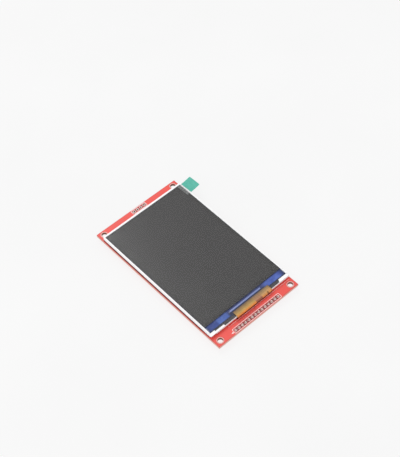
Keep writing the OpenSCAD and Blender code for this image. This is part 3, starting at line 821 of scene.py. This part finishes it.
bm = bmesh.new()
header_print(bm, rear_line, 0.0, my, 14, 0.2)
header_print(bm, rear_line, 0.9, cy, 4, 0.2)
for x, y, t in [(-20, -45, 90), (-16.5, -45, 90), (-13, -45, 90), (-9.5, -45, 90), (14, -45, 90), (17.5, -45, 90), (-6, 46, 0), (-1, 46, 0), (4, 46, 0), (9, 46, 0), (-17, -38, 90), (-7.5, -38, 90), (13.5, -38, 90), (-6, 26, 90), (-14, 2, 0), (-14, 17, 0)]:
    w, h = (1.35, 0.95) if t == 0 else (0.95, 1.35)
    rear_line(bm, rounded(x - w, y - h, x + w, y + h, 0.2, 3), 0.15, closed=True)
for x, y in ((-12, -38), (9, -38)):
    rear_line(bm, [(x - 1.7, y - 0.8), (x - 1.7, y + 0.8)], 0.18)
    rear_line(bm, [(x + 1.7, y - 0.8), (x + 1.7, y + 0.8)], 0.18)
rear_line(bm, [(-16.4, 5.0), (-16.4, 10.2), (-11.6, 10.2), (-11.6, 5.0)], 0.18, closed=True)
ring(bm, -15.9, 4.3, 0, 0.28, -CU - PR, -CU * 0.5, seg=16)
s0, s1 = lo("card_socket_cover"), hi("card_socket_cover")
rear_line(bm, [(s0.x - 2.1, s0.y - 0.3), (bx1 - 0.3, s0.y - 0.3)], 0.18)
rear_line(bm, [(s0.x - 2.1, s1.y + 0.3), (bx1 - 0.3, s1.y + 0.3)], 0.18)
rear_line(bm, [(s0.x - 2.1, s0.y - 0.3), (s0.x - 2.1, s1.y + 0.3)], 0.18)
rear_line(bm, rounded(-22.0, -24.0, 22.0, -10.0, 1.2, 5), 0.2, closed=True)
for x, y in HOLES:
    ring(bm, x, y, 2.62, 2.80, -CU - PR, -CU * 0.5, seg=48)
finish_mesh("rear_print", bm, INK)

# ---------------------------------------------------------------- bare lands and solder behind the board
bm = bmesh.new()
for i in range(8):
    y = 7.6 + (i - 3.5) * 0.65
    boxed(bm, -17.7, y - 0.17, -16.6, y + 0.17, -0.035, 0)
    boxed(bm, -11.4, y - 0.17, -10.3, y + 0.17, -0.035, 0)
for x in (21.0, 22.3):
    boxed(bm, x - 0.5, -39.2, x + 0.5, -37.6, -0.035, 0)
for x, y in [(-24, 24), (-24, 28)]:
    ring(bm, x, y, 0, 0.5, -0.035, 0, seg=24)
finish_mesh("bare_lands", bm, TIN)


def fillet(bm, x, y, w, h, z, dx, dy, reach=0.5):
    """A wedge of solder from a part's end down to its land: w wide, z high, reaching out along (dx, dy)."""
    px, py = -dy, dx
    steps = 5
    rows = []
    for i in range(steps + 1):
        t = i / steps
        out = reach * t
        zz = -(z * (1 - t) ** 2.0 + 0.03)
        ww = w / 2 * (1.0 + 0.12 * math.sin(math.pi * t) - 0.06 * t)
        rows.append([((x + dx * out + px * s * ww) * MM, (y + dy * out + py * s * ww) * MM, zz * MM) for s in (-1, 1)] +
                    [((x + dx * out + px * s * ww) * MM, (y + dy * out + py * s * ww) * MM, 0.0) for s in (1, -1)])
    vr = [[bm.verts.new(c) for c in r] for r in rows]
    for a, b in zip(vr, vr[1:]):
        for k in range(4):
            bm.faces.new((a[k], a[(k + 1) % 4], b[(k + 1) % 4], b[k]))
    bm.faces.new(vr[0])
    bm.faces.new(vr[-1][::-1])


bm = bmesh.new()
for x, y, t, h in [(-20, -45, 90, .5), (-16.5, -45, 90, .5), (-13, -45, 90, .5), (-9.5, -45, 90, .5), (14, -45, 90, .5), (17.5, -45, 90, .5), (-6, 46, 0, .5), (-1, 46, 0, .5), (4, 46, 0, .5), (9, 46, 0, .5), (-17, -38, 90, .9), (-7.5, -38, 90, .9), (13.5, -38, 90, .9), (-6, 26, 90, .9), (-14, 2, 0, .9), (-14, 17, 0, .9)]:
    a = math.radians(t)
    for s in (-1, 1):
        dx, dy = s * math.cos(a), s * math.sin(a)
        fillet(bm, x + dx * 1.0, y + dy * 1.0, 1.2, 0, h * 0.8, round(dx), round(dy), 0.45)
for i in range(9):
    fillet(bm, s0.x - 1.2 - 1.2, 26 + (i - 4) * 2.5, 1.1, 0, 0.16, -1, 0, 0.5)
for sx in (s0.x - 1.2 + 4, s1.x - 4):
    for y, dy in ((s0.y, -1), (s1.y, 1)):
        fillet(bm, sx, y - dy * 0.02, 2.2, 0, 0.18, 0, dy, 0.6)
for x, y in ((-12, -38), (9, -38)):
    for px, py, d in ((x - 0.95, y + 1.27, 1), (x + 0.95, y + 1.27, 1), (x, y - 1.27, -1)):
        fillet(bm, px, py, 0.6, 0, 0.12, 0, d, 0.35)
finish_mesh("rear_solder", bm, SOLDER, smooth_deg=50)

# ---------------------------------------------------------------- sealing resin on the ledge
c0, c1 = lo("ledge_coating"), hi("ledge_coating")
d0, d1 = lo("driver_chip"), hi("driver_chip")
f0, f1 = lo("display_flex"), hi("display_flex")
bond_y = f1.y if f1.y > -44.5 else -43.5
bond_y = -43.5


def resin_height(x, y):
    """The resin thins towards its edges and climbs a little against the chip and the front glass."""
    ex = min(x - c0.x, c1.x - x)
    ey = min(y - c0.y, c1.y + 0.25 - y)
    edge = min(ex, ey)
    if f0.x - 0.15 < x < f1.x + 0.15:
        edge = min(edge, max(0.0, y - (bond_y + 0.02)))
    h = 0.12 * (1 - math.exp(-max(edge, 0.0) / 0.28))
    near_glass = max(0.0, 1 - (c1.y - y) / 0.45)
    h += 0.10 * near_glass ** 2
    if d0.x - 0.5 < x < d1.x + 0.5:
        dy = max(0.0, abs(y - (d0.y + d1.y) / 2) - (d1.y - d0.y) / 2)
        h += 0.05 * math.exp(-dy / 0.16)
    h += 0.012 * math.sin(x * 0.9 + 1.3) * math.sin(y * 2.1)
    return max(0.012, h)


bm = bmesh.new()
xs = [c0.x + (c1.x - c0.x) * i / 180 for i in range(181)]
ys = [c0.y + (c1.y - c0.y) * j / 34 for j in range(35)]


def in_resin(x, y):
    if f0.x - 0.12 < x < f1.x + 0.12 and y < bond_y:
        return False
    if d0.x + 0.05 < x < d1.x - 0.05 and d0.y + 0.05 < y < d1.y - 0.05:
        return False
    # the resin's lower corners are rounded
    for cx, sx in ((c0.x + 1.0, -1), (c1.x - 1.2, 1)):
        r = 1.0 if sx < 0 else 1.2
        if (x - cx) * sx > 0 and y < c0.y + r and (x - cx) ** 2 + (y - c0.y - r) ** 2 > r * r:
            return False
    return True


top_v, low_v = {}, {}
for i, x in enumerate(xs):
    for j, y in enumerate(ys):
        top_v[i, j] = None
cells = [(i, j) for i in range(180) for j in range(34) if in_resin((xs[i] + xs[i + 1]) / 2, (ys[j] + ys[j + 1]) / 2)]
cellset = set(cells)


def tv(i, j):
    if top_v[i, j] is None:
        top_v[i, j] = bm.verts.new((xs[i] * MM, ys[j] * MM, (z_ledge + resin_height(xs[i], ys[j])) * MM))
    return top_v[i, j]


def lv(i, j):
    if (i, j) not in low_v:
        low_v[i, j] = bm.verts.new((xs[i] * MM, ys[j] * MM, (z_ledge + 0.002) * MM))
    return low_v[i, j]


for i, j in cells:
    bm.faces.new((tv(i, j), tv(i + 1, j), tv(i + 1, j + 1), tv(i, j + 1)))
    bm.faces.new((lv(i, j), lv(i, j + 1), lv(i + 1, j + 1), lv(i + 1, j)))
    for (ni, nj), (a, b) in (((i - 1, j), ((i, j + 1), (i, j))), ((i + 1, j), ((i + 1, j), (i + 1, j + 1))), ((i, j - 1), ((i, j), (i + 1, j))), ((i, j + 1), ((i + 1, j + 1), (i, j + 1)))):
        if (ni, nj) not in cellset:
            bm.faces.new((tv(*b), tv(*a), lv(*a), lv(*b)))
o = finish_mesh("ledge_resin", bm, COAT, smooth_deg=50, doubles=False)
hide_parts("ledge_coating")

# ---------------------------------------------------------------- black tape
bm = bmesh.new()
t0, t1 = lo("shading_tape"), hi("shading_tape")
tape = [(-26.3, t1.y), (-26.3, -45.75), (-26.1, -45.80), (-19.9, -45.75), (-19.75, -45.95), (-19.7, -46.7), (-19.55, -46.85),
        (22.3, -46.85), (22.65, -46.7), (23.1, -46.2), (23.5, t1.y)]
prism(bm, tape, t0.z, t1.z)
edges = [e for e in bm.edges if abs(e.verts[0].co.z - t1.z * MM) < 1e-7 and abs(e.verts[1].co.z - t1.z * MM) < 1e-7]
bmesh.ops.bevel(bm, geom=edges, offset=0.03 * MM, segments=2, profile=0.5, affect="EDGES", clamp_overlap=True)
bmesh.ops.triangulate(bm, faces=[f for f in bm.faces if len(f.verts) > 4])
o = finish_mesh("tape_strip", bm, BLACK_TAPE, smooth_deg=40)
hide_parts("shading_tape")

# ---------------------------------------------------------------- flexible circuit
FT = 0.12
zf, zt = z_ledge + FT / 2, top + FT / 2
FR, FCY = 0.8, -46.75
path = []
for i in range(15):
    y = -43.5 + (FCY + 43.5) * i / 14
    path.append((y, zf, 0.0, 1.0))
for i in range(1, 19):
    a = math.radians(90 + 90 * i / 18)
    path.append((FCY + FR * math.cos(a), zf - FR + FR * math.sin(a), math.cos(a), math.sin(a)))
for i in range(0, 19):
    a = math.radians(180 + 90 * i / 18)
    path.append((FCY + FR * math.cos(a), zt + FR + FR * math.sin(a), math.cos(a), math.sin(a)))
for i in range(1, 7):
    path.append((FCY + (-39 - FCY) * i / 6, zt, 0.0, -1.0))


def bulge(x, k):
    """The free fold bows out a little more in the middle."""
    t = (x - f0.x) / (f1.x - f0.x)
    y, z, ny, nz = path[k]
    side = max(0.0, -ny)
    return side * (0.10 * math.sin(math.pi * t) + 0.02 * math.sin(x * 0.9))


def strip(bm, x0, x1, n0, n1, ks, steps, mat=0):
    """A band between x0 and x1, from offset n0 to n1 outside the film's middle layer, for the path's steps ks."""
    cols = [x0 + (x1 - x0) * i / steps for i in range(steps + 1)]
    grid = {}
    for i, x in enumerate(cols):
        for k in ks:
            y, z, ny, nz = path[k]
            b = bulge(x, k)
            for s, n in ((0, n0), (1, n1)):
                grid[i, k, s] = bm.verts.new((x * MM, (y + ny * (n + b)) * MM, (z + nz * (n + b)) * MM))
    ks = list(ks)
    for i in range(steps):
        for a, b in zip(ks, ks[1:]):
            for s in (0, 1):
                bm.faces.new((grid[i, a, s], grid[i + 1, a, s], grid[i + 1, b, s], grid[i, b, s])).material_index = mat
    for a, b in zip(ks, ks[1:]):
        for i in (0, steps):
            bm.faces.new((grid[i, a, 0], grid[i, b, 0], grid[i, b, 1], grid[i, a, 1])).material_index = mat
    for i in range(steps):
        for k in (ks[0], ks[-1]):
            bm.faces.new((grid[i, k, 0], grid[i + 1, k, 0], grid[i + 1, k, 1], grid[i, k, 1])).material_index = mat


bm = bmesh.new()
strip(bm, f0.x, f1.x, -FT / 2, FT / 2, range(len(path)), 40)
o = finish_mesh("flex_film", bm, AMBER, smooth_deg=40)
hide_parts("display_flex")

bm = bmesh.new()
x = f0.x + 0.5
i = 0
visible = range(2, len(path) - 5)
while x < f1.x - 0.5:
    if 3.8 < x < 8.8:
        w, gap = 1.1, 0.25
    elif x > 13.0:
        w, gap = 0.7, 0.3
    else:
        w, gap = 0.34, 0.28
    if x + w > f1.x - 0.4:
        break
    strip(bm, x, x + w, FT / 2 - 0.004, FT / 2 + 0.014, visible, 1)
    x += w + gap
    i += 1
finish_mesh("flex_tracks", bm, AMBER_CU, smooth_deg=40)

# ---------------------------------------------------------------- pull tab
TT = 0.08
p0 = lo("pull_tab")
tx0, tyc, tw, tbend, tx1, lift = 27.4, 41.9, 8.9, 29.9, 37.7, 1.1
turn = math.radians(1.6)
cosr, sinr = math.cos(turn), math.sin(turn)


def tab_z(x):
    if x <= tbend:
        return z_top + TT / 2
    u = (x - tbend) / (tx1 - tbend)
    return z_top + TT / 2 + lift * u * u * (1.5 - 0.5 * u)


def tab_grid(bm, x0, x1, nx, ny, round_end):
    g = {}
    for i in range(nx + 1):
        x = x0 + (x1 - x0) * i / nx
        inset = 0.0
        if round_end:
            r = 0.5
            d = tx1 - x
            if d < r:
                inset = r - math.sqrt(max(0.0, r * r - (r - d) ** 2))
        for j in range(ny + 1):
            v = -1 + 2 * j / ny
            y = tyc + v * (tw / 2 - inset)
            z = tab_z(x)
            if x > tbend:
                u = (x - tbend) / (tx1 - tbend)
                z -= 0.10 * u * v * v
            rx = tx0 + (x - tx0) * cosr - (y - tyc) * sinr
            ry = tyc + (x - tx0) * sinr + (y - tyc) * cosr
            for s in (-1, 1):
                g[i, j, s] = bm.verts.new((rx * MM, ry * MM, (z + s * (TT / 2 - 0.002)) * MM))
    for i in range(nx):
        for j in range(ny):
            bm.faces.new((g[i, j, 1], g[i + 1, j, 1], g[i + 1, j + 1, 1], g[i, j + 1, 1]))
            bm.faces.new((g[i, j, -1], g[i, j + 1, -1], g[i + 1, j + 1, -1], g[i + 1, j, -1]))
    for i in range(nx):
        for j in (0, ny):
            bm.faces.new((g[i, j, -1], g[i + 1, j, -1], g[i + 1, j, 1], g[i, j, 1]))
    for j in range(ny):
        for i in (0, nx):
            bm.faces.new((g[i, j, -1], g[i, j + 1, -1], g[i, j + 1, 1], g[i, j, 1]))


bm = bmesh.new()
tab_grid(bm, 30.45, tx1, 26, 14, True)
teal = finish_mesh("teal_tab", bm, TEAL, smooth_deg=50)
bm = bmesh.new()
tab_grid(bm, tx0, 30.45, 8, 14, False)
finish_mesh("clear_tab_end", bm, CLEAR_TAB, smooth_deg=50)
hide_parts("pull_tab")

# ---------------------------------------------------------------- floor and light
floor_z = cad_box[0][2] - 0.00002
me = bpy.data.meshes.new("floor")
s = 6.0
me.from_pydata([(-s, -s, floor_z), (s, -s, floor_z), (s, s, floor_z), (-s, s, floor_z)], [], [(0, 1, 2, 3)])
floor = bpy.data.objects.new("floor", me)
bpy.context.scene.collection.objects.link(floor)
# a white light table: it glows evenly, so the part casts next to no shadow on it
fm = Mat("floor", rough=1.0, spec=0.0, Emission_Strength=1.0)
fn = fm.noise(8)
fm.color(fm.mix(fn, (0.095, 0.095, 0.095, 1), (0.105, 0.105, 0.105, 1)))
fm.link(fm.mix(fn, (0.826, 0.826, 0.826, 1), (0.834, 0.834, 0.834, 1)), fm.b.inputs["Emission Color"])
me.materials.append(fm.m)

world = bpy.data.worlds.new("studio")
bpy.context.scene.world = world
world.use_nodes = True
bg = world.node_tree.nodes["Background"]
bg.inputs[0].default_value = (1.0, 1.0, 1.0, 1.0)
bg.inputs[1].default_value = 0.82


def area(name, loc, target, size, power, color=(1, 1, 1)):
    ld = bpy.data.lights.new(name, "AREA")
    ld.shape = "RECTANGLE"
    ld.size, ld.size_y = size
    ld.energy = power
    ld.color = color
    o = bpy.data.objects.new(name, ld)
    bpy.context.scene.collection.objects.link(o)
    d = (Vector(target) - Vector(loc)).normalized()
    o.matrix_world = Matrix.Translation(loc) @ d.to_track_quat("-Z", "Y").to_matrix().to_4x4()
    return o


area("key", (0.10, 0.60, 0.98), (0, 0, 0), (0.45, 0.7), 3.0)
area("fill", (-0.7, -0.3, 0.9), (0, 0, 0), (0.8, 0.8), 2.6)

bpy.context.scene.view_settings.view_transform = "Standard"
bpy.context.scene.view_settings.look = "None"
